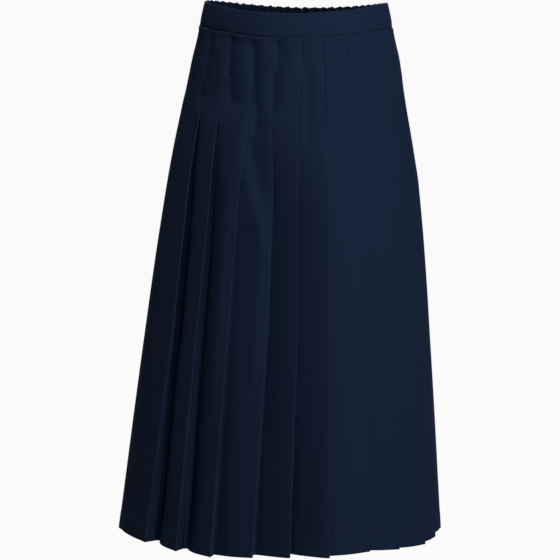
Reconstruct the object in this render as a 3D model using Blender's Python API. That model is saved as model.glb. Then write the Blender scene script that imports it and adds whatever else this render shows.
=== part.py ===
"""Pleated maxi skirt, filled out as it is when worn, with nobody in it.

Four cut pieces: a front and a back of knife-pleated cloth, joined at side seams that lie
inside a pleat, a flat front waistband and a gathered elastic back waistband.

Metres, +Z up. The origin is the middle of the waist opening, level with the top of the
waistband at the wearer's sides. The wearer faces -Y, so +X is the wearer's left.
"""

import math
from collections import namedtuple

import bmesh
import bpy
import numpy as np

LENGTH = 0.835  # waistband's top edge to hem, down the wearer's side
BAND_HEIGHT = 0.037
BAND_DIP = 0.013  # how far the band hangs lower at the front and back than at the sides
SEAM_GAP = 0.0003  # between pieces that are sewn together

CLOTH = 0.0010  # one layer of the skirting
BAND_PROUD = 0.0009  # the band's outside, outside the line of the pleat edges
BAND_THICKNESS = 0.0026  # two layers and their interfacing or elastic
BAND_COLUMNS = 24

PLEATS = 24
FRONT_PLEATS = 12
PLEAT_CLOTH = 0.093  # flat cloth that goes into one pleat: face, and two layers of underlay
EDGE_AT_FRONT = 6.33  # where centre front lies in the numbering of the pleat edges
RELEASE = 0.172  # pleats are stitched shut down to here, and hang free below
STITCHED_DEPTH = 0.0034  # how far the inner fold lies behind the outer one, stitched
OPENING_POWER = 0.6  # below 1, so that a pleat opens soonest just below its stitching
LAYER_STEP = 0.0014  # least distance between the middles of two layers
FOLD_ROOM = 0.003  # from an inner fold to the pleat edge before it, at the least
STITCHED_SPREAD = 0.0020  # between the middles of a fold's two layers, where it is stitched
HEM_SPREAD = 0.0044  # the same at the hem
FACE_CROWN = 0.0022  # how far an open pleat's face swells out of the flat at the hem

HEM_TURN = 0.026  # height of the turned-up hem
HEM_EXTRA = 0.0008  # what the turned-up layer adds on the wrong side
HEM_STEP = 0.003  # height over which it thickens

GATHERS = 28  # waves of the elastic back waistband
GATHER_COLUMNS = 4
GATHER_SWELL = 0.0014  # how far a wave swells in and out
GATHER_SCALLOP = 0.0009  # how far it lifts and drops the band's top edge
GATHER_DRIFT = 0.35  # how far the waves stray from even spacing, in radians of a wave
DRIFT_WAVES = 5
SEAM_FADE = 0.045  # the gathers die out this far from a side seam

NAVY = (0.0092, 0.0162, 0.0372, 1.0)

# The line of the outer pleat edges, from the waist down.
Station = namedtuple("Station", "drop half_width half_depth to_right to_back")
STATIONS = (
    Station(0.000, 0.1420, 0.1110, 0.000, 0.000),
    Station(0.037, 0.1500, 0.1175, 0.000, 0.001),
    Station(0.085, 0.1625, 0.1280, 0.000, 0.004),
    Station(0.150, 0.1735, 0.1390, 0.002, 0.007),
    Station(0.240, 0.1905, 0.1560, 0.003, 0.007),
    Station(0.360, 0.2074, 0.1740, 0.005, 0.005),
    Station(0.550, 0.2279, 0.1980, 0.010, 0.002),
    Station(0.835, 0.2555, 0.2310, 0.018, 0.000),
)

# Heights of the rings of points down a skirt panel.
RING_DROPS = (
    BAND_HEIGHT + SEAM_GAP,
    0.085,
    0.140,
    RELEASE,
    0.205,
    0.290,
    0.420,
    0.560,
    0.700,
    LENGTH - HEM_TURN,
    LENGTH - HEM_TURN + HEM_STEP,
    LENGTH,
)

# One row for each pleat edge, numbered from the right side seam across the front and on
# round the back. slide_top, slide_hem: how far the edge strays from even spacing towards
# the wearer's left, as a share of a pleat. opening: how far the inner fold lies behind
# the edge at the hem. lift: how much higher than level the hem hangs there.
Pleat = namedtuple("Pleat", "slide_top slide_hem opening lift")
PLEAT_TABLE = (
    Pleat(0.00, 0.00, 0.018, 0.005),
    Pleat(-0.02, -0.40, 0.012, -0.003),
    Pleat(0.00, -0.32, 0.007, 0.006),
    Pleat(-0.10, 0.10, 0.022, 0.002),
    Pleat(-0.10, 0.19, 0.023, -0.002),
    Pleat(0.05, 0.14, 0.020, -0.005),
    Pleat(0.02, 0.17, 0.017, -0.003),
    Pleat(0.01, 0.11, 0.016, 0.000),
    Pleat(-0.04, 0.01, 0.014, 0.001),
    Pleat(-0.08, 0.06, 0.015, 0.006),
    Pleat(-0.20, -0.04, 0.014, 0.002),
    Pleat(-0.35, -0.06, 0.014, 0.001),
    Pleat(-0.50, -0.28, 0.016, 0.004),
    Pleat(-0.50, -0.20, 0.018, 0.006),
    Pleat(-0.42, -0.12, 0.015, 0.003),
    Pleat(-0.36, -0.16, 0.019, 0.001),
    Pleat(-0.24, -0.02, 0.016, -0.001),
    Pleat(-0.18, -0.08, 0.020, 0.000),
    Pleat(-0.06, 0.06, 0.015, 0.002),
    Pleat(-0.04, 0.02, 0.018, 0.000),
    Pleat(0.05, -0.05, 0.017, 0.001),
    Pleat(0.02, 0.05, 0.020, -0.001),
    Pleat(0.04, -0.02, 0.016, 0.002),
    Pleat(-0.02, 0.03, 0.018, 0.003),
)


def smooth_curve(xs, ys, x):
    """A cubic curve through the points (xs, ys), read at x."""
    xs, ys = np.asarray(xs, float), np.asarray(ys, float)
    slopes = np.gradient(ys, xs)
    i = int(np.clip(np.searchsorted(xs, x) - 1, 0, len(xs) - 2))
    width = xs[i + 1] - xs[i]
    u = (x - xs[i]) / width
    rise = 3 * u**2 - 2 * u**3
    return (
        ys[i] * (1 - rise)
        + ys[i + 1] * rise
        + width * slopes[i] * (u - 2 * u**2 + u**3)
        + width * slopes[i + 1] * (u**3 - u**2)
    )


class Ring:
    """The outline at one height: an ellipse that is walked by the distance round it from
    centre front, positive towards the wearer's left."""

    STEPS = 1440

    def __init__(self, drop):
        drops = [s.drop for s in STATIONS]
        self.drop = drop
        self.half_width = smooth_curve(drops, [s.half_width for s in STATIONS], drop)
        self.half_depth = smooth_curve(drops, [s.half_depth for s in STATIONS], drop)
        self.x = -smooth_curve(drops, [s.to_right for s in STATIONS], drop)
        self.y = smooth_curve(drops, [s.to_back for s in STATIONS], drop)
        self.angles = np.linspace(-2 * math.pi, 2 * math.pi, 2 * self.STEPS + 1)
        speed = np.hypot(
            self.half_width * np.cos(self.angles), self.half_depth * np.sin(self.angles)
        )
        steps = (speed[1:] + speed[:-1]) / 2 * np.diff(self.angles)
        along = np.concatenate([[0.0], np.cumsum(steps)])
        self.along = along - along[self.STEPS]
        self.round = self.along[-1]

    def angle(self, distance):
        return np.interp(distance, self.along, self.angles)

    def distance(self, angle):
        return np.interp(angle, self.angles, self.along)

    def point(self, distance, depth):
        """The point at that distance round, and depth inside the outline."""
        angle = self.angle(distance)
        x = self.half_width * math.sin(angle)
        y = -self.half_depth * math.cos(angle)
        normal = np.array([x / self.half_width**2, y / self.half_depth**2])
        normal /= np.linalg.norm(normal)
        return self.x + x - depth * normal[0], self.y + y - depth * normal[1]

    def dip(self, distance):
        """How much lower this height hangs at the front and back than at the sides."""
        share = 1 - self.drop / LENGTH
        return BAND_DIP * share * math.cos(self.angle(distance)) ** 2


def hem_share(ring):
    """0 where the pleats are stitched shut, 1 at the hem."""
    return float(np.clip((ring.drop - RELEASE) / (LENGTH - RELEASE), 0, 1))


def edge_place(ring, number):
    """Distance round to a pleat's outer edge."""
    pleat = PLEAT_TABLE[number % PLEATS]
    slide = pleat.slide_top + (pleat.slide_hem - pleat.slide_top) * ring.drop / LENGTH
    return (number - EDGE_AT_FRONT + slide) / PLEATS * ring.round


def hem_lift(ring, number):
    """Cubed, so that only the cloth near the hem hangs higher or lower."""
    return PLEAT_TABLE[number % PLEATS].lift * hem_share(ring) ** 3


def fold_depth(ring, number):
    """How far a pleat's inner fold lies behind its outer edge."""
    opening = PLEAT_TABLE[number % PLEATS].opening
    return STITCHED_DEPTH + (opening - STITCHED_DEPTH) * hem_share(ring) ** OPENING_POWER


def fold_spread(ring):
    """How far apart the two layers of a fold are."""
    return STITCHED_SPREAD + (HEM_SPREAD - STITCHED_SPREAD) * hem_share(ring)


def underlap(ring, number):
    """How far the inner fold is tucked back under the face. The cloth runs from one outer
    edge in to the inner fold and out to the next edge, and its length doesn't change, so
    the fold lies on an ellipse that has the two edges as its foci."""
    pitch = edge_place(ring, number + 1) - edge_place(ring, number)
    depth = fold_depth(ring, number)
    share = 4 * depth**2 / (PLEAT_CLOTH**2 - pitch**2)
    tucked = (PLEAT_CLOTH * math.sqrt(max(0.0, 1 - share)) - pitch) / 2
    room = edge_place(ring, number) - edge_place(ring, number - 1) - FOLD_ROOM
    return float(np.clip(tucked, fold_spread(ring), room))


def half_fold(ring, at_seam):
    """From an inner fold's depth to the middle of either of its layers, which at a side
    seam are two separate pieces."""
    return (CLOTH + SEAM_GAP) / 2 if at_seam else fold_spread(ring) / 2


def face_profile(ring, number, from_seam):
    """The middle of the cloth along one pleat's face: from the inner fold under edge
    `number`, out past that edge, and on to the next edge. (distance, depth) points."""
    here, there = edge_place(ring, number), edge_place(ring, number + 1)
    pitch, spread = there - here, fold_spread(ring)
    tuck, next_tuck = underlap(ring, number), underlap(ring, number + 1)
    start = fold_depth(ring, number) + half_fold(ring, from_seam)
    under_edge = max(spread + LAYER_STEP, start * pitch / (pitch + tuck))
    over_next = min(
        start * next_tuck / (pitch + tuck),
        fold_depth(ring, number + 1) - spread / 2 - LAYER_STEP,
    )
    crown = FACE_CROWN * hem_share(ring)
    middle = (pitch - next_tuck) / 2
    return [
        (here - tuck, start),
        (here, under_edge),
        (here + middle, (under_edge + over_next) / 2 - crown),
        (here + 2 * middle, over_next - crown / 3),
        (there - spread / 2, 0.0),
    ]


def return_profile(ring, number, to_seam):
    """The middle of the cloth from edge `number` back to its inner fold."""
    here, spread = edge_place(ring, number), fold_spread(ring)
    tuck, inner = underlap(ring, number), fold_depth(ring, number)
    points = [
        (here, spread / 2),
        (here - spread / 2, spread),
        (here - tuck, inner - half_fold(ring, to_seam)),
    ]
    if not to_seam:
        points.append((here - tuck - spread / 2, inner))
    return points


def panel_profile(ring, first, count):
    """The middle of a panel of `count` pleats, which starts and ends at a side seam, and
    the lift of the hem at each of its points."""
    points, lifts = [], []
    last = first + count - 1
    for number in range(first, last + 1):
        face = face_profile(ring, number, from_seam=number == first)
        back = return_profile(ring, number + 1, to_seam=number == last)
        points += face + back
        before, after = hem_lift(ring, number), hem_lift(ring, number + 1)
        lifts += list(np.linspace(before, after, len(face))) + [after] * len(back)
    return np.array(points), np.array(lifts)


def offset_profile(points, amount):
    """A line parallel to a profile, `amount` towards its right side, which is outwards on
    a face, with its corners mitred."""
    runs = np.diff(points, axis=0)
    runs /= np.linalg.norm(runs, axis=1)[:, None]
    sides = np.column_stack([runs[:, 1], -runs[:, 0]])
    before = np.vstack([sides[:1], sides])
    after = np.vstack([sides, sides[-1:]])
    mitres = before + after
    mitres /= np.linalg.norm(mitres, axis=1)[:, None]
    stretch = 1 / (mitres * after).sum(axis=1)
    return points + amount * mitres * stretch[:, None]


def new_material(name):
    material = bpy.data.materials.new(name)
    material.use_nodes = True
    shader = material.node_tree.nodes["Principled BSDF"]
    shader.inputs["Base Color"].default_value = NAVY
    shader.inputs["Roughness"].default_value = 0.85
    shader.inputs["Metallic"].default_value = 0.0
    return material


def goes_round(here, there):
    """Whether `there` lies further round from centre front towards the wearer's left."""
    return here.co.x * there.co.y > there.co.x * here.co.y


def wall(name, outer, inner):
    """A closed wall from two grids of points, [ring][column], outside and inside. Layers
    that lie on each other are cut into triangles the same way, so that they don't cross."""
    mesh = bmesh.new()
    outer = [[mesh.verts.new(p) for p in ring] for ring in outer]
    inner = [[mesh.verts.new(p) for p in ring] for ring in inner]
    rings, columns = len(outer), len(outer[0])
    for r in range(rings - 1):
        for c in range(columns - 1):
            forward = goes_round(outer[r][c], outer[r][c + 1])
            for grid, order in ((outer, 1), (inner, -1)):
                corners = [grid[r][c], grid[r + 1][c], grid[r + 1][c + 1], grid[r][c + 1]]
                if forward:
                    corners = corners[1:] + corners[:1]
                mesh.faces.new((corners[0], corners[1], corners[3])[::order])
                mesh.faces.new((corners[1], corners[2], corners[3])[::order])
        for c, order in ((0, 1), (columns - 1, -1)):
            corners = (outer[r][c], inner[r][c], inner[r + 1][c], outer[r + 1][c])
            mesh.faces.new(corners[::order])
    for r, order in ((0, 1), (rings - 1, -1)):
        for c in range(columns - 1):
            corners = (outer[r][c], outer[r][c + 1], inner[r][c + 1], inner[r][c])
            mesh.faces.new(corners[::order])
    data = bpy.data.meshes.new(name)
    mesh.to_mesh(data)
    mesh.free()
    data.shade_smooth()
    data.set_sharp_from_angle(angle=math.radians(40))
    data.materials.append(new_material(name + "_cloth"))
    bpy.context.scene.collection.objects.link(bpy.data.objects.new(name, data))


def ring_points(ring, profile, lifts):
    """A profile's points in space."""
    points = []
    for (distance, depth), lift in zip(profile, lifts):
        x, y = ring.point(distance, depth)
        points.append((x, y, -ring.drop - ring.dip(distance) + lift))
    return points


def skirt_panel(name, first, count):
    right_side, wrong_side = [], []
    for drop in RING_DROPS:
        ring = Ring(drop)
        profile, lifts = panel_profile(ring, first, count)
        turned_up = drop >= LENGTH - HEM_TURN + HEM_STEP
        behind = CLOTH / 2 + (HEM_EXTRA if turned_up else 0.0)
        right_side.append(ring_points(ring, offset_profile(profile, CLOTH / 2), lifts))
        wrong_side.append(ring_points(ring, offset_profile(profile, -behind), lifts))
    wall(name, right_side, wrong_side)


def gather_wave(share, from_seam):
    """The height of the gathers, -1 to 1, at a share of the way along the band."""
    drift = GATHER_DRIFT * math.sin(2 * math.pi * share * DRIFT_WAVES)
    fade = min(1.0, from_seam / SEAM_FADE)
    return fade * math.cos(2 * math.pi * share * GATHERS + drift)


def waistband(name, start, end, columns, gathered):
    """A band between two angles round the waist, with waves in it if it is gathered."""
    outer, inner = [], []
    for drop in (0.0, BAND_HEIGHT / 2, BAND_HEIGHT):
        ring = Ring(drop)
        first = ring.distance(start) + SEAM_GAP / 2
        last = ring.distance(end) - SEAM_GAP / 2
        outside, inside = [], []
        for share in np.linspace(0, 1, columns + 1):
            distance = first + (last - first) * share
            from_seam = min(distance - first, last - distance)
            wave = gather_wave(share, from_seam) if gathered else 0.0
            depth = -BAND_PROUD - GATHER_SWELL * wave
            scallop = GATHER_SCALLOP * wave if drop == 0.0 else 0.0
            z = -drop - ring.dip(distance) + scallop
            outside.append((*ring.point(distance, depth), z))
            inside.append((*ring.point(distance, depth + BAND_THICKNESS), z))
        outer.append(outside)
        inner.append(inside)
    wall(name, outer, inner)


def build():
    for thing in list(bpy.data.objects):
        bpy.data.objects.remove(thing)
    skirt_panel("skirt_front", 0, FRONT_PLEATS)
    skirt_panel("skirt_back", FRONT_PLEATS, PLEATS - FRONT_PLEATS)
    side = math.pi / 2
    waistband("waistband_front", -side, side, BAND_COLUMNS, gathered=False)
    waistband("waistband_back", side, 3 * side, GATHERS * GATHER_COLUMNS, gathered=True)


build()
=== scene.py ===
import math

import bpy
import numpy as np
from mathutils import Matrix, Vector


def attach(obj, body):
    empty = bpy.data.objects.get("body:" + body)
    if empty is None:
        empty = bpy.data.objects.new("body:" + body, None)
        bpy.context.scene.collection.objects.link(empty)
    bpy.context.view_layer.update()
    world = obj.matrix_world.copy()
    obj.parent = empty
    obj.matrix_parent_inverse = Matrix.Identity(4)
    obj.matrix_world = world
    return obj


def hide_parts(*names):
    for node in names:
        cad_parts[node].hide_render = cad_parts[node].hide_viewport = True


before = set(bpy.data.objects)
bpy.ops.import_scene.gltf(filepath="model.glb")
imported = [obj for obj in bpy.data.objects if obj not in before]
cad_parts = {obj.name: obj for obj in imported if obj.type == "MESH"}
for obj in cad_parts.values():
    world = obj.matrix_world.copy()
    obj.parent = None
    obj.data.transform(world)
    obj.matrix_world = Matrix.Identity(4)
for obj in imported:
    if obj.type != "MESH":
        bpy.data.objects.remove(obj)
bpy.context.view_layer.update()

# the form that all the pieces share: the line of the outer pleat edges, waist to hem
outline = {
    "length": 0.835,
    "bandHeight": 0.037,
    "bandDip": 0.013,  # how far the band hangs lower at the front and back than at the sides
    "seamGap": 0.0003,
    "drops": (0.000, 0.037, 0.085, 0.150, 0.240, 0.360, 0.550, 0.835),
    "halfWidths": (0.1420, 0.1500, 0.1625, 0.1735, 0.1905, 0.2074, 0.2279, 0.2555),
    "halfDepths": (0.1110, 0.1175, 0.1280, 0.1390, 0.1560, 0.1740, 0.1980, 0.2310),
    "toRight": (0.000, 0.000, 0.000, 0.002, 0.003, 0.005, 0.010, 0.018),
    "toBack": (0.000, 0.001, 0.004, 0.007, 0.007, 0.005, 0.002, 0.000),
    "stepsRound": 1440,  # once round in either direction from the front's middle
}


def smoothCurve(xs, ys, x):  # a cubic curve through the points, read at x
    xs, ys, x = np.asarray(xs, float), np.asarray(ys, float), np.asarray(x, float)
    slopes = np.gradient(ys, xs)
    i = np.clip(np.searchsorted(xs, x) - 1, 0, len(xs) - 2)
    width = xs[i + 1] - xs[i]
    u = (x - xs[i]) / width
    rise = 3 * u**2 - 2 * u**3
    return (ys[i] * (1 - rise) + ys[i + 1] * rise + width * slopes[i] * (u - 2 * u**2 + u**3)
            + width * slopes[i + 1] * (u**3 - u**2))


def smoothStep(low, high, x):
    u = np.clip((np.asarray(x, float) - low) / (high - low), 0, 1)
    return u * u * (3 - 2 * u)


def smoothNoise(x, seed, waves=6):  # gentle wandering between about -1 and 1
    random = np.random.default_rng(seed)
    total = 0.0
    for _ in range(waves):
        pace, start = random.uniform(0.5, 2.4), random.uniform(0, 2 * math.pi)
        size = random.uniform(0.4, 1)
        total = total + np.sin(x * pace + start) * size
    return total / math.sqrt(waves)


class Ring:  # one height: an ellipse walked by the distance round it, positive to the wearer's left
    def __init__(self, drop):
        steps = outline["stepsRound"]
        self.drop = drop
        self.halfWidth, self.halfDepth, toRight, self.y = (
            float(smoothCurve(outline["drops"], outline[key], drop))
            for key in ("halfWidths", "halfDepths", "toRight", "toBack"))
        self.x = -toRight
        self.angles = np.linspace(-2 * math.pi, 2 * math.pi, 2 * steps + 1)
        speed = np.hypot(self.halfWidth * np.cos(self.angles), self.halfDepth * np.sin(self.angles))
        along = np.concatenate([[0.0], np.cumsum((speed[1:] + speed[:-1]) / 2 * np.diff(self.angles))])
        self.along = along - along[steps]
        self.round = self.along[-1]

    def angle(self, distance):
        return np.interp(distance, self.along, self.angles)

    def distance(self, angle):
        return np.interp(angle, self.angles, self.along)

    def outward(self, distance):  # the level direction that faces away from the wearer
        angle = self.angle(distance)
        normal = np.stack([np.sin(angle) / self.halfWidth, -np.cos(angle) / self.halfDepth])
        return normal / np.linalg.norm(normal, axis=0)

    def points(self, distance, depth, lift=0.0):
        angle, normal = self.angle(distance), self.outward(distance)
        x = self.x + self.halfWidth * np.sin(angle) - depth * normal[0]
        y = self.y - self.halfDepth * np.cos(angle) - depth * normal[1]
        share = 1 - self.drop / outline["length"]
        z = -self.drop - outline["bandDip"] * share * np.cos(angle) ** 2 + lift
        return np.stack([x, y, z + 0 * x], axis=-1)


# the pleats: edges are numbered from the right side seam across the front and round the back
pleats = {
    "count": 24,
    "front": 12,
    "cloth": 0.093,  # flat cloth in one pleat
    "edgeAtFront": 6.33,
    "release": 0.172,  # stitched shut down to here
    # where a fold's line comes out of the stitched cloth, if that isn't at the release
    # (2 is past the hem: that edge stays flat all the way down)
    "shows": {1: 2.0, 2: 2.0, 3: 0.150, 4: 0.160, 5: 0.168, 6: 0.168, 9: 0.137, 10: 0.095, 11: 0.085,
              12: 0.085, 17: 0.155, 20: 0.150, 21: 0.140},
    "showsFrom": 0.014,  # it starts this much above and is out this much below
    "showsTo": 0.045,
    "jitter": 0.010,  # small unevenness of the pressed edges, as a share of a pleat
    "jitterPace": 70,
    "jitterSeed": 40,
    "jitterPower": 0.3,  # how soon it sets in below the release
    "stitchedDepth": 0.0034,
    "openingPower": 0.6,
    "liftPower": 3,
    "layerStep": 0.0014,  # least room between two layers
    "foldRoom": 0.003,  # least room between an inner fold and the outer fold before it
    "spreadDrops": (0.03, 0.172, 0.50, 0.79, 0.812, 0.84),  # a fold's width, from the waist down
    "spreads": (0.0013, 0.0014, 0.0017, 0.0020, 0.0027, 0.0027),
    "crown": 0.0026,  # swell of an open face, and of those that differ
    "otherCrowns": {6: -0.0012, 7: -0.0018, 8: 0.0030},
    "crownEnd": 1.15,  # the swell ends at one over this of the face
    # a face's hollow beside the fold that it comes out from: the drops between which it grows and
    # fades, its depth and reach in millimetres by edge number, and those of all the other edges
    "hollows": (
        ((0.19, 0.42, 0.74, 0.86),
         {2: (0, 9), 3: (6.5, 10), 4: (8, 14), 5: (2, 11), 6: (0, 10), 7: (0, 10), 8: (1, 10), 9: (1, 8),
          10: (1, 8), 11: (1, 8), 12: (2, 10)}, (3.5, 12)),
        ((0.170, 0.36, 0.84, 0.86), {6: (9, 90), 7: (10, 90)}, (0, 10)),
        ((0.62, 0.76, 0.86, 0.87), {3: (5, 20), 4: (5, 20), 7: (9, 40)}, (0, 10)),
    ),
    "faceInCloth": 0.012,  # where a pleat's face starts to show in its cloth, and where its fold lies
    "foldInCloth": 0.070,
    # for each edge: slide at the waist and at the hem, opening at the hem, lift of the hem
    "edges": (
        (0.00, 0.00, 0.018, 0.005), (-0.02, -0.40, 0.012, -0.003), (0.00, -0.32, 0.007, 0.006),
        (-0.10, 0.10, 0.022, 0.002), (-0.10, 0.19, 0.023, -0.002), (0.05, 0.14, 0.020, -0.005),
        (0.02, 0.17, 0.017, -0.003), (0.01, 0.11, 0.016, 0.000), (-0.04, 0.01, 0.014, 0.001),
        (-0.08, 0.06, 0.015, 0.006), (-0.20, -0.04, 0.014, 0.002), (-0.35, -0.06, 0.014, 0.001),
        (-0.50, -0.28, 0.016, 0.004), (-0.50, -0.20, 0.018, 0.006), (-0.42, -0.12, 0.015, 0.003),
        (-0.36, -0.16, 0.019, 0.001), (-0.24, -0.02, 0.016, -0.001), (-0.18, -0.08, 0.020, 0.000),
        (-0.06, 0.06, 0.015, 0.002), (-0.04, 0.02, 0.018, 0.000), (0.05, -0.05, 0.017, 0.001),
        (0.02, 0.05, 0.020, -0.001), (0.04, -0.02, 0.016, 0.002), (-0.02, 0.03, 0.018, 0.003),
    ),
    # how an edge wanders off its straight line, as a share of a pleat at each of these drops
    "wanderDrops": (0.037, 0.184, 0.286, 0.490, 0.800),
    "wander": {
        1: (0.02, -0.03, 0.02, 0.04, 0.00), 2: (0.00, -0.04, -0.02, 0.05, 0.00),
        3: (-0.06, -0.07, -0.02, 0.12, 0.00), 4: (-0.09, -0.06, -0.02, 0.01, 0.00),
        5: (-0.09, 0.06, -0.06, -0.01, 0.00), 6: (0.01, -0.03, 0.06, 0.11, 0.02),
        7: (0.06, -0.04, -0.05, 0.05, 0.00), 8: (0.00, -0.01, -0.01, -0.02, 0.01),
        9: (0.06, -0.06, 0.01, -0.02, 0.02), 10: (0.05, -0.18, -0.14, -0.04, 0.03),
        11: (-0.12, 0.00, 0.07, 0.08, 0.05), 12: (-0.16, 0.02, 0.05, 0.10, 0.06),
        14: (0.03, -0.05, 0.03, 0.05, 0.00), 15: (-0.04, 0.04, -0.05, -0.03, 0.01),
        17: (0.05, 0.03, -0.04, 0.04, 0.00), 18: (-0.03, -0.06, 0.02, 0.06, 0.02),
        20: (0.04, -0.03, 0.05, -0.04, 0.00), 21: (-0.02, 0.05, 0.03, 0.07, 0.01),
        22: (0.03, 0.02, -0.05, -0.03, 0.00),
    },
}


def hemShare(ring):  # 0 where the pleats are stitched shut, 1 at the hem
    return float(np.clip((ring.drop - pleats["release"]) / (outline["length"] - pleats["release"]), 0, 1))


def edgePlace(ring, number):  # the distance round of an outer pleat edge
    which = number % pleats["count"]
    atWaist, atHem, _, _ = pleats["edges"][which]
    slide = atWaist + (atHem - atWaist) * ring.drop / outline["length"]
    if which in pleats["wander"]:
        slide += float(np.interp(ring.drop, pleats["wanderDrops"], pleats["wander"][which]))
    jitter = float(smoothNoise(ring.drop * pleats["jitterPace"], pleats["jitterSeed"] + which))
    slide += pleats["jitter"] * jitter * hemShare(ring) ** pleats["jitterPower"]
    return (number - pleats["edgeAtFront"] + slide) / pleats["count"] * ring.round


def pleatPlace(ring, distance):  # distance round as a pleat number, whole at an edge
    numbers = np.arange(-8, pleats["count"] + 10)  # some past either end of the round
    return np.interp(distance, [edgePlace(ring, int(n)) for n in numbers], numbers)


def hemLift(ring, number):
    *_, lift = pleats["edges"][number % pleats["count"]]
    return lift * hemShare(ring) ** pleats["liftPower"]


def foldDepth(ring, number):  # how far in the inner fold lies
    _, _, opening, _ = pleats["edges"][number % pleats["count"]]
    shut = pleats["stitchedDepth"]
    return shut + (opening - shut) * hemShare(ring) ** pleats["openingPower"]


def shutShare(ring, number):  # 1 where the next face lies close against the fold, 0 where it stands open
    shows = pleats["shows"].get(number % pleats["count"], pleats["release"])
    return 1 - float(smoothStep(shows - pleats["showsFrom"], shows + pleats["showsTo"], ring.drop))


def foldSpread(ring):
    return float(np.interp(ring.drop, pleats["spreadDrops"], pleats["spreads"]))


def underlap(ring, number):  # how far the inner fold is tucked back under the face
    pitch = edgePlace(ring, number + 1) - edgePlace(ring, number)
    share = 4 * foldDepth(ring, number) ** 2 / (pleats["cloth"] ** 2 - pitch**2)
    tucked = (pleats["cloth"] * math.sqrt(max(0.0, 1 - share)) - pitch) / 2
    room = edgePlace(ring, number) - edgePlace(ring, number - 1) - pleats["foldRoom"]
    return float(np.clip(tucked, foldSpread(ring), room))


# the cloth of a skirt panel, and the points that its folded line is drawn with
panel = {
    "thickness": 0.0009,
    "seamHalf": 0.00068,  # from a side seam to the middle of either cloth
    "topRows": (0.0373, 0.0385, 0.0398, 0.0413, 0.0430, 0.0450, 0.0475, 0.0505, 0.0540),
    "stitchedRows": 36,  # down to below the release
    "stitchedTo": 0.205,
    "openRows": 40,  # on down to the turned-up hem
    "hemTop": 0.809,
    "hemStepRows": (-0.003, -0.0015, -0.0006, 0.0004, 0.0014, 0.003),  # about the step at the hem's top
    "hemRoom": 0.006,
    "hemRows": 6,  # below the step
    "hemExtra": 0.0006,  # the turned-up layer on the wrong side
    "hemStep": 0.0016,  # height over which it sets in
    "hemRadius": 0.0007,
    "openPlaces": (0.02, 0.045, 0.075, 0.11, 0.15, 0.20, 0.26, 0.32, 0.38, 0.44, 0.50, 0.56, 0.62, 0.68,
                   0.74, 0.80, 0.86, 0.92, 0.97),  # points along an open face, as shares of it
    # a shut face comes up close beside the fold: place, depth
    "shutRise": ((0.00100, 0.0007), (0.00114, 0.0001), (0.0017, 0.0)),
    "shutCorner": 0.7,  # how much nearer the line a shut fold keeps its corner
    "shutPlaces": (0.08, 0.97),  # and its other points lie evenly between these shares
    "shutTurn": (0.13, 0.80),  # where a face turns from its own fold's state to the next fold's
    "bend": 0.0006,  # roundness of the bend over the next inner fold
    "underRadius": 0.004,  # roundness of the face where it passes under the edge
    "foldRadius": 0.45,  # roundness of a pressed fold, as a share of its width
    "clothInBend": 0.001,  # cloth taken up by half a fold's bend
}


def faceLine(ring, number, fromSeam):  # (distance, depth, cloth, radius, arc points, run points)
    which = number % pleats["count"]
    here, there = edgePlace(ring, number), edgePlace(ring, number + 1)
    pitch, spread = there - here, foldSpread(ring)
    tuck, nextTuck = underlap(ring, number), underlap(ring, number + 1)
    half = panel["seamHalf"] if fromSeam else spread / 2
    start = foldDepth(ring, number) + half
    underEdge = max(spread + pleats["layerStep"], start * pitch / (pitch + tuck))
    overNext = min(start * nextTuck / (pitch + tuck),
                   foldDepth(ring, number + 1) - spread / 2 - pleats["layerStep"])
    crown = pleats["otherCrowns"].get(which, pleats["crown"]) * hemShare(ring)
    shutHere, shutNext = shutShare(ring, number), shutShare(ring, number + 1)
    span = pitch - spread / 2
    base, faceStart = number * pleats["cloth"], pleats["faceInCloth"]
    cloth = lambda share: base + faceStart + (pleats["foldInCloth"] - faceStart) * share

    # where the face stands open: under its own edge, over the next inner fold, and up to the next edge
    openPlaces = np.array(panel["openPlaces"])
    level = underEdge + (overNext - underEdge) * openPlaces * span / (pitch - nextTuck)
    rising = overNext * (1 - openPlaces) * span / (nextTuck - spread / 2)
    level = (level + rising) / 2 - np.hypot((level - rising) / 2, panel["bend"] * hemShare(ring))
    level -= crown * np.sin(np.pi * np.minimum(1.0, openPlaces * pleats["crownEnd"]))
    hollowHere = 0.0
    for drops, byEdge, others in pleats["hollows"]:
        hollow, reach = byEdge.get(which, others)
        hollow *= 0.001 * float(np.interp(ring.drop, drops, (0, 1, 1, 0))) * (1 - shutHere)
        hollowHere += hollow
        level += hollow * np.exp(-openPlaces * span / (0.001 * reach)) * (1 - openPlaces)

    # where it is stitched shut, it lies flat against the fold
    rise = panel["shutRise"]
    shutPlaces = np.concatenate([[place for place, _ in rise],
                                 np.linspace(*panel["shutPlaces"], len(openPlaces) - len(rise)) * span])
    shutDepths = np.zeros(len(openPlaces))
    shutDepths[:len(rise)] = [depth for _, depth in rise]
    shut = shutHere + (shutNext - shutHere) * smoothStep(*panel["shutTurn"], openPlaces)
    places = openPlaces * span * (1 - shut) + shutPlaces * shut
    depths = level * (1 - shut) + shutDepths * shut
    corner = there - spread / 2 * (1 - panel["shutCorner"] * shutNext)
    return [(here - tuck, start, base, spread / 2, 2, 1),
            (here, underEdge + hollowHere, cloth(0.0), panel["underRadius"], 3, 1),
            *((here + place, depth, cloth(place / span), 0.0, 1, 0) for place, depth in zip(places, depths)),
            (corner, 0.0, cloth(1.0) - panel["clothInBend"], spread * panel["foldRadius"], 3, 0)]


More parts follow.
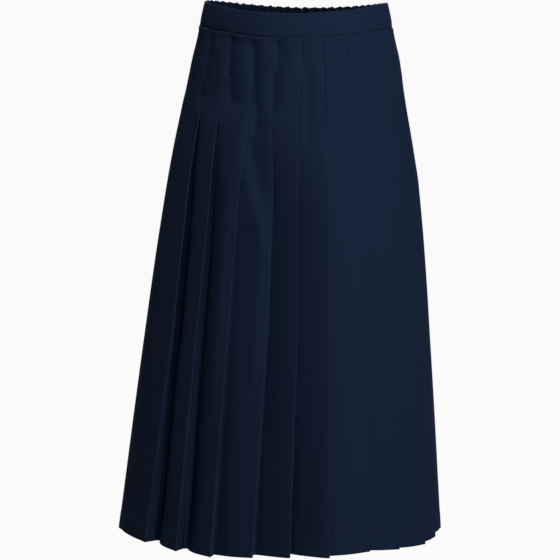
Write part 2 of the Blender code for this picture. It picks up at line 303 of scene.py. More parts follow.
def returnLine(ring, number, toSeam):  # from the outer fold back under the face to the inner fold
    here, spread = edgePlace(ring, number), foldSpread(ring)
    tuck, inner = underlap(ring, number), foldDepth(ring, number)
    base = (number - 1) * pleats["cloth"] + pleats["foldInCloth"]
    end, bent = number * pleats["cloth"], panel["clothInBend"]
    half = panel["seamHalf"] if toSeam else spread / 2
    radius = spread * panel["foldRadius"]
    line = [(here, spread / 2, base, radius, 2, 0),
            (here - spread / 2, spread, base + bent, radius, 3, 2),
            (here - tuck, inner - half, end - 2 * bent, radius, 2, 0)]
    if not toSeam:
        line.append((here - tuck - spread / 2, inner, end - bent, radius, 2, 0))
    return line


def panelLine(ring, first, count):  # control points of a whole panel, and the hem's lift at each
    line, lifts = [], []
    last = first + count - 1
    for number in range(first, last + 1):
        face = faceLine(ring, number, number == first)
        back = returnLine(ring, number + 1, number == last)
        line += face + back
        lifts += list(np.linspace(hemLift(ring, number), hemLift(ring, number + 1), len(face)))
        lifts += [hemLift(ring, number + 1)] * len(back)
    return line, lifts


def roundedLine(line, lifts):  # walks the control points with their corners rounded
    points = np.array([(*point[:3], lift) for point, lift in zip(line, lifts)])
    runs = np.diff(points, axis=0)
    lengths = np.linalg.norm(runs[:, :2], axis=1)
    out = [points[0]]
    leave = points[0]
    for i in range(1, len(points)):
        if i < len(points) - 1:
            reach = min(line[i][3], 0.48 * lengths[i - 1], 0.48 * lengths[i])  # less than half a run
            arrive = points[i] - runs[i - 1] * reach / lengths[i - 1]
        else:
            arrive = points[i]
        steps = line[i - 1][5]
        for step in range(1, steps + 1):
            out.append(leave + (arrive - leave) * step / (steps + 1))
        if i == len(points) - 1:
            out.append(arrive)
            break
        leave = points[i] + runs[i] * reach / lengths[i]
        for u in np.linspace(0, 1, line[i][4]):
            out.append(arrive * (1 - u) ** 2 + points[i] * 2 * u * (1 - u) + leave * u**2)
    return np.array(out)


# creases and soft swells, all in the skirt's own sizes: a point is (pleat number, whole at an
# edge, drop), and height is how far the cloth stands out, or in if it is below zero
creases = {
    # points down the crease, widths to its left and right, height, share over which each end fades
    "table": (
        (((2.62, 0.034), (2.72, 0.061), (2.75, 0.084), (2.82, 0.110), (2.70, 0.128), (2.76, 0.165)),
         6, 11, -4.6, 0.20),
        (((3.92, 0.035), (3.95, 0.060), (3.96, 0.078), (4.08, 0.108), (4.20, 0.131), (4.34, 0.158)),
         5, 15, -6.4, 0.14),
        (((4.78, 0.035), (4.94, 0.074), (5.08, 0.120), (5.24, 0.158), (5.30, 0.200)), 5, 15, -6.6, 0.16),
        (((5.88, 0.035), (6.02, 0.060), (6.02, 0.072), (5.90, 0.095), (5.94, 0.165)), 5, 14, -5.4, 0.18),
        (((7.05, 0.035), (7.08, 0.072), (7.16, 0.111), (7.26, 0.149), (7.32, 0.215)), 5, 13, -4.6, 0.16),
        (((8.04, 0.034), (8.07, 0.150)), 7, 10, -1.0, 0.3),
        (((9.04, 0.034), (9.12, 0.120)), 7, 9, -1.0, 0.3),
        (((10.50, 0.036), (10.44, 0.065), (10.20, 0.111), (10.12, 0.150)), 8, 10, -2.4, 0.3),
        (((11.32, 0.036), (11.12, 0.150)), 8, 10, -2.0, 0.3),
        (((3.30, 0.036), (3.32, 0.085)), 8, 8, 2.4, 0.4),
        (((4.45, 0.040), (4.50, 0.125)), 9, 9, 1.6, 0.4),
        (((5.45, 0.036), (5.42, 0.090)), 9, 9, 2.2, 0.4),
        (((6.50, 0.040), (6.48, 0.160)), 11, 11, 1.2, 0.4),
        (((7.60, 0.040), (7.70, 0.180)), 14, 14, 1.0, 0.4),
        (((4.70, 0.170), (4.98, 0.225), (5.52, 0.300), (5.95, 0.400)), 14, 8, 5.5, 0.35),
        (((5.12, 0.170), (5.20, 0.215), (5.50, 0.270), (5.88, 0.335)), 8, 24, -8.5, 0.40),
        (((6.35, 0.165), (6.62, 0.240)), 12, 12, -2.2, 0.5),
        (((4.20, 0.160), (4.55, 0.330)), 13, 13, 2.4, 0.5),
        (((4.62, 0.190), (4.66, 0.400), (4.64, 0.640)), 12, 12, 5.0, 0.3),
        (((5.70, 0.240), (5.74, 0.620)), 11, 9, 3.0, 0.3),
        # round the back
        (((12.60, 0.036), (12.75, 0.150)), 8, 10, -2.6, 0.3),
        (((13.62, 0.036), (13.80, 0.120), (13.86, 0.190)), 9, 11, -3.6, 0.25),
        (((14.40, 0.040), (14.72, 0.160)), 8, 10, -2.4, 0.3),
        (((15.80, 0.034), (15.70, 0.100), (15.86, 0.180)), 9, 11, -3.2, 0.3),
        (((17.60, 0.036), (17.92, 0.165)), 9, 11, -3.6, 0.25),
        (((18.85, 0.050), (18.70, 0.180)), 8, 10, -2.0, 0.3),
        (((20.60, 0.034), (20.90, 0.130), (20.96, 0.200)), 9, 11, -3.4, 0.3),
        (((21.75, 0.034), (21.80, 0.140)), 8, 10, -2.2, 0.3),
        (((23.40, 0.036), (23.85, 0.175)), 9, 11, -3.0, 0.3),
        (((24.70, 0.036), (24.82, 0.160)), 8, 10, -2.2, 0.3),
        (((25.68, 0.036), (25.78, 0.150)), 8, 10, -2.4, 0.3),
        (((13.10, 0.230), (13.90, 0.420)), 14, 14, 3.4, 0.4),
        (((16.20, 0.190), (16.75, 0.330)), 13, 13, 3.6, 0.4),
        (((19.30, 0.210), (19.80, 0.390)), 14, 14, -3.0, 0.4),
        (((22.20, 0.180), (22.80, 0.350)), 13, 13, 3.4, 0.4),
        # soft waves low down
        (((3.55, 0.420), (3.40, 0.700)), 15, 15, 1.8, 0.5),
        (((6.45, 0.450), (6.60, 0.720)), 16, 16, 1.6, 0.5),
        (((9.50, 0.380), (9.55, 0.640)), 17, 17, 1.2, 0.5),
        (((14.50, 0.450), (14.40, 0.740)), 16, 16, 2.0, 0.5),
        (((18.45, 0.430), (18.60, 0.730)), 16, 16, 1.8, 0.5),
        (((21.50, 0.460), (21.45, 0.720)), 15, 15, 1.8, 0.5),
    ),
    "unit": 0.001,  # the widths and heights above are in millimetres
    "bottom": 0.0016,  # roundness of a crease along its line
    "flank": 0.55,  # share of its slope that a crease has from the start
    "wobble": (0.05, 90, 200),  # how far a crease strays from its line in pleats, at what pace, and seed
    "strength": (0.1, 120, 300),  # how its height varies
    # the puff below the stitching: pleat numbers, height, and the drops where it grows and falls
    "puff": ((2.8, 3.4, 4.8, 5.1), 0.0046, (0.142, 0.182), (0.20, 0.32)),
    # the open skirt turns more sharply at some edges and is flatter between: (pleat number, height)
    "turns": ((2.0, 0.0), (4.0, 1.0), (5.0, -1.5), (6.0, -8.5), (7.0, 0.5), (8.0, 12.0), (8.8, 7.0),
              (9.6, 1.5), (11.0, 3.0), (12.0, -1.0), (13.0, 0.0), (15.0, 2.0), (16.0, -2.0), (18.0, 2.5),
              (19.0, -1.5), (21.0, 1.5), (22.0, -1.0), (24.0, 0.0), (26.0, 0.0)),
    "turnDrops": (0.15, 0.32),
    "seamRidge": (0.0412, 0.0022, 0.0015),  # drop, height over which it fades, how far it stands out
    "ridgeVary": (0.45, 4.2, 9),  # how it varies: share, pace and seed
    "hemRidge": (0.0004, -0.001, 0.002),  # how far it stands out, and where it rises about the hem's top
}

puckers = {  # in the back panel, under the elastic
    "depth": 0.0012,
    "waves": 28,
    "drift": 0.35,
    "driftWaves": 5,
    "top": 0.009,  # they grow over this height below the band
    "bottom": 0.092,  # and fade over the last part down to this drop
    "fade": 0.055,
    "fadePower": 1.5,
    "seamFade": 0.05,
}


def creaseTable(ring, place):
    out = np.zeros_like(place)
    count = pleats["count"]
    pitch = ring.round / count
    unit, bottom, flank = creases["unit"], creases["bottom"], creases["flank"]
    stray, strayPace, straySeed = creases["wobble"]
    vary, varyPace, varySeed = creases["strength"]
    for i, (points, left, right, height, ends) in enumerate(creases["table"]):
        places, drops = zip(*points)
        share = (ring.drop - drops[0]) / (drops[-1] - drops[0])
        if not 0 < share < 1:
            continue
        middle = float(np.interp(ring.drop, drops, places))
        if len(points) > 2:
            middle = float(smoothCurve(drops, places, ring.drop))
        middle += stray * float(smoothNoise(ring.drop * strayPace, straySeed + i))
        fade = smoothStep(0, ends, share) * smoothStep(0, ends, 1 - share)
        fade = fade * (1 + vary * float(smoothNoise(ring.drop * varyPace, varySeed + i)))
        off = ((place - middle + count / 2) % count - count / 2) * pitch  # the short way round
        width = np.where(off < 0, left, right) * unit
        slope = np.minimum(1.0, flank + np.abs(off) / width * (1 - flank))
        out += height * unit * fade * np.exp(-(np.hypot(off, bottom) - bottom) / width * slope)
    return out


def puckerRelief(ring, distance):
    share = (ring.angle(distance) % (2 * math.pi) - math.pi / 2) / math.pi  # across the back, seam to seam
    drift = puckers["drift"] * np.sin(2 * math.pi * share * puckers["driftWaves"])
    wave = np.cos(2 * math.pi * share * puckers["waves"] + drift)
    onBack = smoothStep(0, puckers["seamFade"], share) * smoothStep(0, puckers["seamFade"], 1 - share)
    below = (puckers["bottom"] - ring.drop) / puckers["fade"]
    above = (ring.drop - outline["bandHeight"]) / puckers["top"]
    return (puckers["depth"] * wave * onBack * float(smoothStep(0, 1, below)) ** puckers["fadePower"]
            * float(smoothStep(0, 1, above)))


def relief(ring, place, distance):  # how far the cloth stands out at one height
    out = creaseTable(ring, place)
    count = pleats["count"]
    where, tall, grow, fall = creases["puff"]
    out += tall * np.interp(place % count, where, (0, 1, 1, 0), left=0, right=0) * float(
        smoothStep(*grow, ring.drop) - smoothStep(*fall, ring.drop))
    places, turns = zip(*creases["turns"])
    turned = float(smoothStep(*creases["turnDrops"], ring.drop))
    out += turned * creases["unit"] * np.interp((place - places[0]) % count + places[0], places, turns)
    drop, fadeHeight, tall = creases["seamRidge"]
    vary, pace, seed = creases["ridgeVary"]
    ridge = math.exp(-(((ring.drop - drop) / fadeHeight) ** 2))
    out += tall * (1 - vary + vary * smoothNoise(place * pace, seed)) * ridge
    out += puckerRelief(ring, distance)
    tall, above, below = creases["hemRidge"]
    return out + tall * float(smoothStep(panel["hemTop"] + above, panel["hemTop"] + below, ring.drop))


def panelRows():  # the drops at which a panel is drawn, closer at the seam and at the hem's top
    top, hemTop = panel["topRows"], panel["hemTop"]
    stitched = np.linspace(top[-1], panel["stitchedTo"], panel["stitchedRows"] + 1)[1:]
    opened = np.linspace(panel["stitchedTo"], hemTop - panel["hemRoom"], panel["openRows"] + 1)[1:]
    step = hemTop + np.array(panel["hemStepRows"])
    turned = np.linspace(hemTop + panel["hemRoom"], outline["length"] - panel["hemRadius"], panel["hemRows"])
    return np.concatenate([top, stitched, opened, step, turned])


def wallNormals(grid):  # outward at each point of rows down by columns across
    across = np.gradient(grid, axis=1)
    down = np.gradient(grid, axis=0)
    normal = np.cross(down, across)
    return normal / np.linalg.norm(normal, axis=2, keepdims=True)


def closedShell(name, loops, uvs):
    # loops[row][column] goes round the wall's cross-section: down the outside, up the inside
    rows, columns = loops.shape[:2]
    r, c = np.meshgrid(np.arange(rows), np.arange(columns - 1), indexing="ij")
    below = (r + 1) % rows
    quads = np.stack([r * columns + c, below * columns + c, below * columns + c + 1,
                      r * columns + c + 1], axis=-1).reshape(-1, 4)
    faces = quads.tolist()
    for column, order in ((0, 1), (columns - 1, -1)):  # the two ends of the wall
        for row in range((rows - 1) // 2):
            across = (row, rows - 1 - row, rows - 2 - row, row + 1)
            if row + 1 == rows - 2 - row:
                across = across[:3]
            faces.append([at * columns + column for at in across[::order]])
    mesh = bpy.data.meshes.new(name)
    mesh.from_pydata(loops.reshape(-1, 3).tolist(), [], faces)
    layer = mesh.uv_layers.new(name="clothMetres")
    corners = np.empty(len(mesh.loops), np.int32)
    mesh.loops.foreach_get("vertex_index", corners)
    layer.data.foreach_set("uv", uvs.reshape(-1, 2)[corners].astype(np.float32).ravel())
    mesh.shade_smooth()
    piece = bpy.data.objects.new(name, mesh)
    bpy.context.scene.collection.objects.link(piece)
    return piece


def skirtPanel(name, first, count):
    drops = panelRows()
    grid, uvs = [], []
    for drop in drops:
        ring = Ring(float(drop))
        distance, depth, cloth, lift = roundedLine(*panelLine(ring, first, count)).T
        out = relief(ring, pleatPlace(ring, distance), distance)
        grid.append(ring.points(distance, depth - out, lift))
        uvs.append(np.stack([cloth, np.full_like(cloth, -drop)], axis=-1))
    grid, uvs = np.array(grid), np.array(uvs)
    normals = wallNormals(grid)
    half = panel["thickness"] / 2
    turned = smoothStep(panel["hemTop"], panel["hemTop"] + panel["hemStep"], drops)[:, None, None]
    outside = grid + normals * half
    inside = grid - normals * (half + panel["hemExtra"] * turned)
    middle = grid[-1] - normals[-1] * panel["hemExtra"] / 2
    radius = half + panel["hemExtra"] / 2
    down = np.array([0.0, 0.0, -panel["hemRadius"]])
    fold = [middle + normals[-1] * radius * math.cos(a) + down * math.sin(a)
            for a in (math.pi / 4, math.pi / 2, 3 * math.pi / 4)]
    loops = np.concatenate([outside, np.array(fold), inside[::-1]])
    return closedShell(name, loops, np.concatenate([uvs, uvs[-1:], uvs[-1:], uvs[-1:], uvs[::-1]]))


skirtFront = skirtPanel("skirtFront", 0, pleats["front"])
skirtBack = skirtPanel("skirtBack", pleats["front"], pleats["count"] - pleats["front"])
print("skirt panels:", [len(piece.data.polygons) for piece in (skirtFront, skirtBack)], "faces")


# the waistband: a flat front piece and a gathered elastic back piece
band = {
    "proud": 0.0007,
    "thickness": 0.0024,
    "topRound": 0.0011,
    "topPoints": (0.35, 0.7),  # points on the round of the top edge, as shares of it
    "lowRound": 0.0009,
    "lowPoint": 0.3,
    "rows": 15,
    "crown": 0.0005,  # the cloth stands out a little between its two edges
    "seamSlant": 0.0014,  # the side seams run aslant through the band, so that nothing shows through
}


def bandSection():  # (depth, drop, 1 on the outside and 0 on the inside), top middle and round
    thick, tall = band["thickness"], outline["bandHeight"]
    top, low = band["topRound"], band["lowRound"]
    section = [(thick / 2, 0.0, 1)]
    for share in band["topPoints"]:
        turn = share * math.pi / 2
        section.append((thick / 2 * (1 - math.sin(turn)), top * (1 - math.cos(turn)), 1))
    section += [(0.0, drop, 1) for drop in np.linspace(top, tall - low, band["rows"])]
    section += [(low * band["lowPoint"], tall - low * band["lowPoint"], 1), (low, tall, 1)]
    return section + [(thick - depth, drop, 0) for depth, drop, _ in section[:0:-1]]


def bandPiece(name, start, end, columns, flatWidth, surface):
    loops, uvs = [], []
    shares = np.linspace(0, 1, columns + 1)
    half = outline["seamGap"] / 2
    for depth, drop, outer in bandSection():
        ring = Ring(drop)
        slant = band["seamSlant"] * (depth / band["thickness"] - 0.5)
        first, last = ring.distance(start) + half + slant, ring.distance(end) - half + slant
        distance = first + (last - first) * shares
        fromSeam = np.minimum(distance - first, last - distance)
        height = 1 - drop / outline["bandHeight"]  # 0 at the lower edge, 1 at the top
        out, lift = surface(shares, height, fromSeam, outer)
        out = out + band["crown"] * math.sin(math.pi * height) * outer
        loops.append(ring.points(distance, depth - band["proud"] - out, lift))
        up = outline["bandHeight"] * (1 - height) * (1 if outer else -1)
        uvs.append(np.stack([shares * flatWidth, np.full_like(shares, -up)], axis=-1))
    return closedShell(name, np.array(loops), np.array(uvs))


frontBand = {
    "columns": 150,
    "cut": 0.405,
    "wave": 0.0004,  # soft unevenness of the flat band: height, then pace, share and seed of two waves
    "waves": ((55, 0.6, 3), (90, 0.4, 4)),
    "waveLean": 2,
    "dimples": (0.00025, 160, 5),  # where the seam draws the lower edge in: depth, pace and seed
    "centreCrease": (0.462, 0.0011, 0.0010),  # where, how wide and how high
    "creaseFrom": (0.20, 0.32),  # it fades in and out between these heights
    "creaseTo": (0.85, 0.7),
    "lowHollow": 0.0024,  # the lower edge lies in on the wearer's right, between these shares
    "hollowFrom": (0.02, 0.15),
    "hollowTo": (0.50, 0.36),
    "topEdge": (0.00035, 38, 6),  # unevenness of the top edge: height, pace and seed
    "seamFade": 0.02,
}


def frontSurface(shares, height, fromSeam, outer):  # how far a point stands out, and its lift
    values = frontBand
    along = shares * values["cut"]
    (pace, share, seed), (finePace, fineShare, fineSeed) = values["waves"]
    lean = height * values["waveLean"]
    out = values["wave"] * (smoothNoise(along * pace, seed) * share
                            + smoothNoise(along * finePace + lean, fineSeed) * fineShare)
    depth, pace, seed = values["dimples"]
    out = out - depth * (0.5 + 0.5 * smoothNoise(along * pace, seed)) * (1 - height) ** 2
    where, wide, tall = values["centreCrease"]
    crease = np.exp(-(((shares - where) * values["cut"] / wide) ** 2))
    out = out + (tall * crease * smoothStep(*values["creaseFrom"], height)
                 * smoothStep(*values["creaseTo"], height) * outer)
    out = out - (values["lowHollow"] * (1 - height) ** 2 * smoothStep(*values["hollowFrom"], shares)
                 * smoothStep(*values["hollowTo"], shares))
    tall, pace, seed = values["topEdge"]
    lift = tall * smoothNoise(along * pace, seed) * height
    fade = smoothStep(0, values["seamFade"], fromSeam)
    return out * fade, lift * fade


backBand = {
    "columns": 420,
    "cut": 0.560,  # flat, before the elastic draws it in
    "gathers": 28,
    "swell": 0.0020,
    "sharpness": 0.8,  # below 1 the gathers are fuller and the lines between them narrower
    "scallop": 0.0012,
    "drift": 0.35,  # uneven spacing, and how often it changes
    "driftWaves": 5,
    "lean": (0.55, 40, 11),  # how far the gathers lean, pace and seed
    "strength": (0.35, 70, 12),  # how their height varies, pace and seed
    "small": 0.00055,  # finer folds between the gathers
    "smallPace": 2.37,
    "smallStray": (1.3, 90, 13),
    "heldLow": 0.2,  # share of a gather's height that is left at the waist seam
    "heldTo": 0.3,
    "seamFade": 0.020,
}


def backSurface(shares, height, fromSeam, outer):
    values = backBand
    drift = values["drift"] * np.sin(2 * math.pi * shares * values["driftWaves"])
    much, pace, seed = values["lean"]
    lean = much * smoothNoise(shares * pace, seed) * (height - 0.5)
    phase = 2 * math.pi * shares * values["gathers"] + drift + lean
    much, pace, seed = values["strength"]
    strength = 0.85 + much * smoothNoise(shares * pace, seed)
    wave = np.cos(phase)
    wave = np.sign(wave) * np.abs(wave) ** values["sharpness"]
    much, pace, seed = values["smallStray"]
    fine = np.cos(phase * values["smallPace"] + much * smoothNoise(shares * pace, seed) + 2.0 * height)
    out = values["swell"] * wave * strength + values["small"] * fine
    held = values["heldLow"] + (1 - values["heldLow"]) * float(smoothStep(0, values["heldTo"], height))
    out = out * (0.78 + 0.22 * math.sin(math.pi * height)) * held
    lift = values["scallop"] * (0.75 * wave * strength + 0.35 * fine) * smoothStep(0.5, 1.0, height)
    fade = smoothStep(0, values["seamFade"], fromSeam)
    return out * fade, lift * fade


side = math.pi / 2
waistbandFront = bandPiece("waistbandFront", -side, side, frontBand["columns"], frontBand["cut"],
                           frontSurface)
waistbandBack = bandPiece("waistbandBack", side, 3 * side, backBand["columns"], backBand["cut"],
                          backSurface)
print("waistband:", [len(piece.data.polygons) for piece in (waistbandFront, waistbandBack)], "faces")


# materials: the weave, the dyed tone and the painted highlight along the folds are groups, placed in both
# cloths
weave = {
    "ribs": 1500.0,  # to a metre
    "steepness": 1.6,
    "unevenness": 0.35,
    "strayScale": 260.0,
    "yarnPace": 9.0,  # yarns across a rib
    "yarnShare": 0.35,
    "colourShare": 0.35,
    "bumpStrength": 0.35,
    "bumpHeight": 0.00008,
}
dye = {"streaks": 420.0, "streakShare": 0.4, "streakStretch": (1.0, 0.06, 1.0)}
# a painted highlight along the fold edges: its width, and its share where the pleats are stitched shut
highlightLine = {"width": 0.0010, "shareWhereShut": 0.40, "release": 0.03}  # release: half of the stretch of change


def setInputs(tree, node, values):  # a socket is linked, anything else is set
    for key, value in values.items():
        if isinstance(value, bpy.types.NodeSocket):
            tree.links.new(value, node.inputs[key])
        else:
            node.inputs[key].default_value = value
    return node


def mathNode(tree, operation, a, b=None):
    node = tree.nodes.new("ShaderNodeMath")
    node.operation = operation
    return setInputs(tree, node, {0: a} if b is None else {0: a, 1: b}).outputs[0]


def timesPlus(tree, value, times, plus):
    return mathNode(tree, "ADD", mathNode(tree, "MULTIPLY", value, times), plus)


def noiseNode(tree, vector, scale, detail, roughness=0.5):
    node = tree.nodes.new("ShaderNodeTexNoise")
    return setInputs(tree, node, {"Vector": vector, "Scale": scale, "Detail": detail,
                                  "Roughness": roughness}).outputs["Fac"]


def mixColour(tree, share, first, second, blend="MIX"):
    node = tree.nodes.new("ShaderNodeMix")
    node.data_type = "RGBA"
    node.blend_type = blend
    return setInputs(tree, node, {0: share, 6: first, 7: second}).outputs[2]


def splitVector(tree, vector):
    node = tree.nodes.new("ShaderNodeSeparateXYZ")
    return setInputs(tree, node, {0: vector}).outputs


def newGroup(name, inputs, outputs):
    group = bpy.data.node_groups.new(name, "ShaderNodeTree")
    for label, kind, value in inputs:
        socket = group.interface.new_socket(label, in_out="INPUT", socket_type=kind)
        if value is not None:
            socket.default_value = value
    for label in outputs:
        group.interface.new_socket(label, in_out="OUTPUT", socket_type="NodeSocketFloat")
    return group, group.nodes.new("NodeGroupInput").outputs, group.nodes.new("NodeGroupOutput").inputs


def twillGroup():  # fine diagonal ribs of a twill, from cloth coordinates in metres
    group, given, result = newGroup(
        "twillWeave",
        [("Cloth", "NodeSocketVector", None), ("Ribs Per Metre", "NodeSocketFloat", weave["ribs"]),
         ("Steepness", "NodeSocketFloat", weave["steepness"]),
         ("Unevenness", "NodeSocketFloat", weave["unevenness"])],
        ["Rib", "Yarn"])
    across, along, _ = splitVector(group, given["Cloth"])
    slant = mathNode(group, "ADD", mathNode(group, "MULTIPLY", across, given["Steepness"]), along)
    turn = mathNode(group, "MULTIPLY", mathNode(group, "MULTIPLY", slant, given["Ribs Per Metre"]),
                    2 * math.pi)
    stray = mathNode(group, "SUBTRACT", noiseNode(group, given["Cloth"], weave["strayScale"], 2.0), 0.5)
    stray = mathNode(group, "MULTIPLY", stray, mathNode(group, "MULTIPLY", given["Unevenness"], 6.0))
    ribs = timesPlus(group, mathNode(group, "SINE", mathNode(group, "ADD", turn, stray)), 0.5, 0.5)
    yarnPace = mathNode(group, "MULTIPLY", given["Ribs Per Metre"], weave["yarnPace"])
    yarn = timesPlus(group, mathNode(group, "SINE", mathNode(group, "MULTIPLY", along, yarnPace)), 0.5, 0.5)
    both = mathNode(group, "MULTIPLY", ribs, timesPlus(group, yarn, weave["yarnShare"],
                                                       1 - weave["yarnShare"]))
    group.links.new(both, result["Rib"])
    group.links.new(yarn, result["Yarn"])
    return group


def toneGroup():  # soft cloudiness and streaks along the warp, as in any dyed cloth
    group, given, result = newGroup(
        "dyedTone",
        [("Cloth", "NodeSocketVector", None), ("Cloud Scale", "NodeSocketFloat", 22.0),
         ("Streak Scale", "NodeSocketFloat", dye["streaks"]),
         ("Streak Share", "NodeSocketFloat", dye["streakShare"])],
        ["Tone"])
    stretch = group.nodes.new("ShaderNodeVectorMath")
    stretch.operation = "MULTIPLY"
    setInputs(group, stretch, {0: given["Cloth"], 1: dye["streakStretch"]})
    blend = group.nodes.new("ShaderNodeMix")
    setInputs(group, blend, {0: given["Streak Share"],
                             2: noiseNode(group, given["Cloth"], given["Cloud Scale"], 4.0, 0.55),
                             3: noiseNode(group, stretch.outputs[0], given["Streak Scale"], 3.0, 0.6)})
    group.links.new(blend.outputs[0], result["Tone"])
    return group


def foldHighlightGroup():  # mask for a painted highlight: 1 along the folds, which lie a pleat apart in the cloth
    group, given, result = newGroup(
        "paintedFoldHighlight",
        [("Cloth", "NodeSocketVector", None), ("Pleat", "NodeSocketFloat", pleats["cloth"]),
         ("Fold", "NodeSocketFloat", pleats["foldInCloth"]), ("Width", "NodeSocketFloat", highlightLine["width"]),
         ("Share Where Shut", "NodeSocketFloat", highlightLine["shareWhereShut"]),
         ("Release", "NodeSocketFloat", pleats["release"])],
        ["Mask"])
    across, along, _ = splitVector(group, given["Cloth"])
    turns = mathNode(group, "DIVIDE", mathNode(group, "SUBTRACT", across, given["Fold"]), given["Pleat"])
    off = mathNode(group, "MULTIPLY", mathNode(group, "PINGPONG", turns, 0.5), given["Pleat"])
    near = mathNode(group, "DIVIDE", off, given["Width"])
    near = mathNode(group, "MULTIPLY", mathNode(group, "MULTIPLY", near, near), -1.0)
    mask = mathNode(group, "POWER", 2.718, near)
    # the painted highlight is stronger below the stitching, where the folds stand free
    below = mathNode(group, "SUBTRACT", mathNode(group, "MULTIPLY", along, -1.0), given["Release"])
    share = group.nodes.new("ShaderNodeMapRange")
    setInputs(group, share, {"Value": below, "From Min": -highlightLine["release"], "From Max": highlightLine["release"],
                             "To Min": given["Share Where Shut"], "To Max": 1.0})
    group.links.new(mathNode(group, "MULTIPLY", mask, share.outputs[0]), result["Mask"])
    return group


twill, tone, foldHighlight = twillGroup(), toneGroup(), foldHighlightGroup()

# the lighter fold colour and its share paint a highlight along the fold edges
clothLooks = {
    "skirtCloth": {"dark": (0.0089, 0.0174, 0.0398, 1), "light": (0.0117, 0.0229, 0.0525, 1),
                   "foldHighlight": (0.0200, 0.0370, 0.0800, 1), "highlightShare": 0.36, "roughness": (0.84, 0.72),
                   "tone": 21.0, "inside": (0.0089, 0.0174, 0.0398, 1)},
    # the waistband's inside colour is darker than its outside: painted shade inside the band
    "waistbandCloth": {"dark": (0.0092, 0.0180, 0.0410, 1), "light": (0.0120, 0.0234, 0.0535, 1),
                       "foldHighlight": (0.0120, 0.0234, 0.0535, 1), "highlightShare": 0.0, "roughness": (0.84, 0.74),
                       "tone": 34.0, "inside": (0.0040, 0.0082, 0.0190, 1)},
}
clothSheen = {"Sheen Weight": 0.035, "Sheen Roughness": 0.5, "Sheen Tint": (0.30, 0.52, 1.0, 1),
              "Specular IOR Level": 0.10, "Specular Tint": (0.35, 0.60, 1.0, 1)}


def clothMaterial(name):
    look = clothLooks[name]
    material = bpy.data.materials.new(name)
    material.use_nodes = True
    tree = material.node_tree
    shader = tree.nodes["Principled BSDF"]
    coordinates = tree.nodes.new("ShaderNodeUVMap")
    coordinates.uv_map = "clothMetres"
    cloth = coordinates.outputs["UV"]

    def placed(group, output, values):
        node = tree.nodes.new("ShaderNodeGroup")
        node.node_tree = group
        return setInputs(tree, node, {"Cloth": cloth, **values}).outputs[output]

    rib = placed(twill, "Rib", {})
    clouds = placed(tone, "Tone", {"Cloud Scale": look["tone"]})
    # the painted highlight along the fold edges
    share = mathNode(tree, "MULTIPLY", placed(foldHighlight, "Mask", {}), look["highlightShare"])
    colour = mixColour(tree, clouds, look["dark"], look["light"])
    colour = mixColour(tree, share, colour, look["foldHighlight"])
    colour = mixColour(tree, weave["colourShare"], colour, rib, "MULTIPLY")
    # the second cloth coordinate is above zero on a band's inside, whose darker colour is painted shade
    inside = mathNode(tree, "GREATER_THAN", splitVector(tree, cloth)[1], 1e-5)
    colour = mixColour(tree, inside, colour, look["inside"])
    rough = tree.nodes.new("ShaderNodeMapRange")
    setInputs(tree, rough, {"Value": share, "To Min": look["roughness"][0], "To Max": look["roughness"][1]})
    bump = tree.nodes.new("ShaderNodeBump")
    setInputs(tree, bump, {"Height": rib, "Strength": weave["bumpStrength"],
                           "Distance": weave["bumpHeight"]})
    setInputs(tree, shader, {"Base Color": colour, "Roughness": rough.outputs[0],
                             "Normal": bump.outputs[0], **clothSheen})
    return material


skirtCloth, waistbandCloth = clothMaterial("skirtCloth"), clothMaterial("waistbandCloth")
for piece, material in ((skirtFront, skirtCloth), (skirtBack, skirtCloth),
                        (waistbandFront, waistbandCloth), (waistbandBack, waistbandCloth)):
    piece.data.materials.append(material)
print("materials:", len(bpy.data.materials))


# camera, floor and light
studio = {
    "azimuth": 8.0,
    "distance": 5.3,
    "height": 0.203,
    "aimHeight": -0.42,
    "roll": 0.55,
    "lens": 640 * 5.3 / 560 * 36,  # 640 pixels a metre at the skirt, in a picture 560 wide
    "shift": (-0.02387, -0.01866),
    "sideLight": {"azimuth": 70.0, "height": -0.15, "distance": 2.99, "size": 1.2, "power": 9.0},
    "mainLight": {"azimuth": 30.0, "height": 1.30, "distance": 2.46, "size": 1.2, "power": 68.0},
    "topLight": {"azimuth": 8.0, "height": 2.30, "distance": 1.27, "size": 1.2, "power": 7.0},
    "leftLight": {"azimuth": -110.0, "height": 1.90, "distance": 1.90, "size": 1.2, "power": 15.0},
    "backLight": {"azimuth": 188.0, "height": 1.10, "distance": 2.75, "size": 1.8, "power": 42.0},
    "room": 0.005,  # light from all round
    "floor": -1.02,
    "floorReach": 60.0,
    "floorColour": (0.35, 0.35, 0.35, 1),
    "floorRoughness": 0.9,
    "floorGlow": 0.95,  # share of white in what the camera sees of the floor
}


def placeRound(values):  # a point round the skirt: azimuth 0 is in front, 90 at the wearer's left
    turn, distance = math.radians(values["azimuth"]), values["distance"]
    return Vector((distance * math.sin(turn), -distance * math.cos(turn), values["height"]))


def makeCamera():
    camera = bpy.data.objects.new("camera", bpy.data.cameras.new("camera"))
    bpy.context.scene.collection.objects.link(camera)
    at = placeRound(studio)
    ahead = (Vector((0, 0, studio["aimHeight"])) - at).normalized()
    right = ahead.cross(Vector((0, 0, 1))).normalized()
    up = right.cross(ahead)
    roll = math.radians(studio["roll"])
    right, up = (right * math.cos(roll) + up * math.sin(roll), up * math.cos(roll) - right * math.sin(roll))
    camera.matrix_world = Matrix(((right.x, up.x, -ahead.x, at.x), (right.y, up.y, -ahead.y, at.y),
                                  (right.z, up.z, -ahead.z, at.z), (0, 0, 0, 1)))
    camera.data.sensor_width = 36
    camera.data.lens = studio["lens"]
    camera.data.shift_x, camera.data.shift_y = studio["shift"]
    camera.data.clip_end = 300
    bpy.context.scene.camera = camera


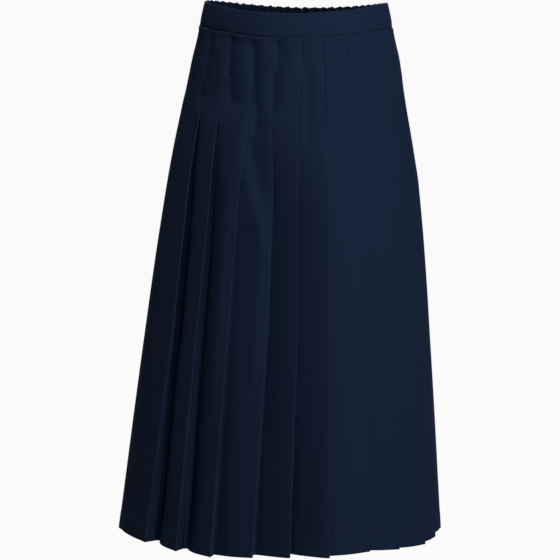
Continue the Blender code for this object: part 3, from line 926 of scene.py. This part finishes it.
def softLight(name):
    values = studio[name]
    lamp = bpy.data.lights.new(name, "AREA")
    lamp.size, lamp.energy = values["size"], values["power"]
    light = bpy.data.objects.new(name, lamp)
    at = placeRound(values)
    light.location = at
    light.rotation_euler = (Vector((0, 0, studio["aimHeight"])) - at).to_track_quat("-Z", "Y").to_euler()
    bpy.context.scene.collection.objects.link(light)


def paleFloor():
    mesh = bpy.data.meshes.new("floor")
    far, level = studio["floorReach"], studio["floor"]
    mesh.from_pydata([(-far, -far, level), (far, -far, level), (far, far, level), (-far, far, level)],
                     [], [(0, 1, 2, 3)])
    floor = bpy.data.objects.new("floor", mesh)
    bpy.context.scene.collection.objects.link(floor)
    material = bpy.data.materials.new("paleFloor")
    material.use_nodes = True
    tree = material.node_tree
    shader = tree.nodes["Principled BSDF"]
    setInputs(tree, shader, {"Base Color": studio["floorColour"], "Roughness": studio["floorRoughness"]})
    # the camera sees the floor almost white; the light that it throws back is softer
    glow = tree.nodes.new("ShaderNodeEmission")
    setInputs(tree, glow, {"Color": (1, 1, 1, 1), "Strength": 1.0})
    path = tree.nodes.new("ShaderNodeLightPath")
    mix = tree.nodes.new("ShaderNodeMixShader")
    share = mathNode(tree, "MULTIPLY", path.outputs["Is Camera Ray"], studio["floorGlow"])
    setInputs(tree, mix, {0: share, 1: shader.outputs[0], 2: glow.outputs[0]})
    tree.links.new(mix.outputs[0], tree.nodes["Material Output"].inputs["Surface"])
    floor.data.materials.append(material)


def paleRoom():  # white to the camera, and dim as a light
    world = bpy.data.worlds.new("room")
    bpy.context.scene.world = world
    world.use_nodes = True
    tree = world.node_tree
    path = tree.nodes.new("ShaderNodeLightPath")
    strength = tree.nodes.new("ShaderNodeMapRange")
    setInputs(tree, strength, {"Value": path.outputs["Is Camera Ray"], "To Min": studio["room"],
                               "To Max": 1.0})
    setInputs(tree, tree.nodes["Background"], {"Color": (1, 1, 1, 1), "Strength": strength.outputs[0]})


makeCamera()
for name in ("sideLight", "mainLight", "topLight", "leftLight", "backLight"):
    softLight(name)
paleFloor()
paleRoom()
bpy.context.scene.view_settings.view_transform = "Standard"
print("studio: camera, floor and five lights")


# each piece goes under its body and hides the solid that it replaces; the table also lists its slot, flat
# cut and the piece it hangs from
panelCut = (pleats["front"] * pleats["cloth"], outline["length"] - outline["bandHeight"])
frontCut = (frontBand["cut"], outline["bandHeight"])
backCut = (backBand["cut"], outline["bandHeight"])
for piece, node, slot, cut, hangsFrom in (
        (skirtFront, "skirt_front", "skirt_cloth", panelCut, "waistbandFront"),
        (skirtBack, "skirt_back", "skirt_cloth", panelCut, "waistbandBack"),
        (waistbandFront, "waistband_front", "waistband_cloth", frontCut, None),
        (waistbandBack, "waistband_back", "waistband_cloth", backCut, None)):
    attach(piece, "root")
    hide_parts(node)

bpy.context.view_layer.update()
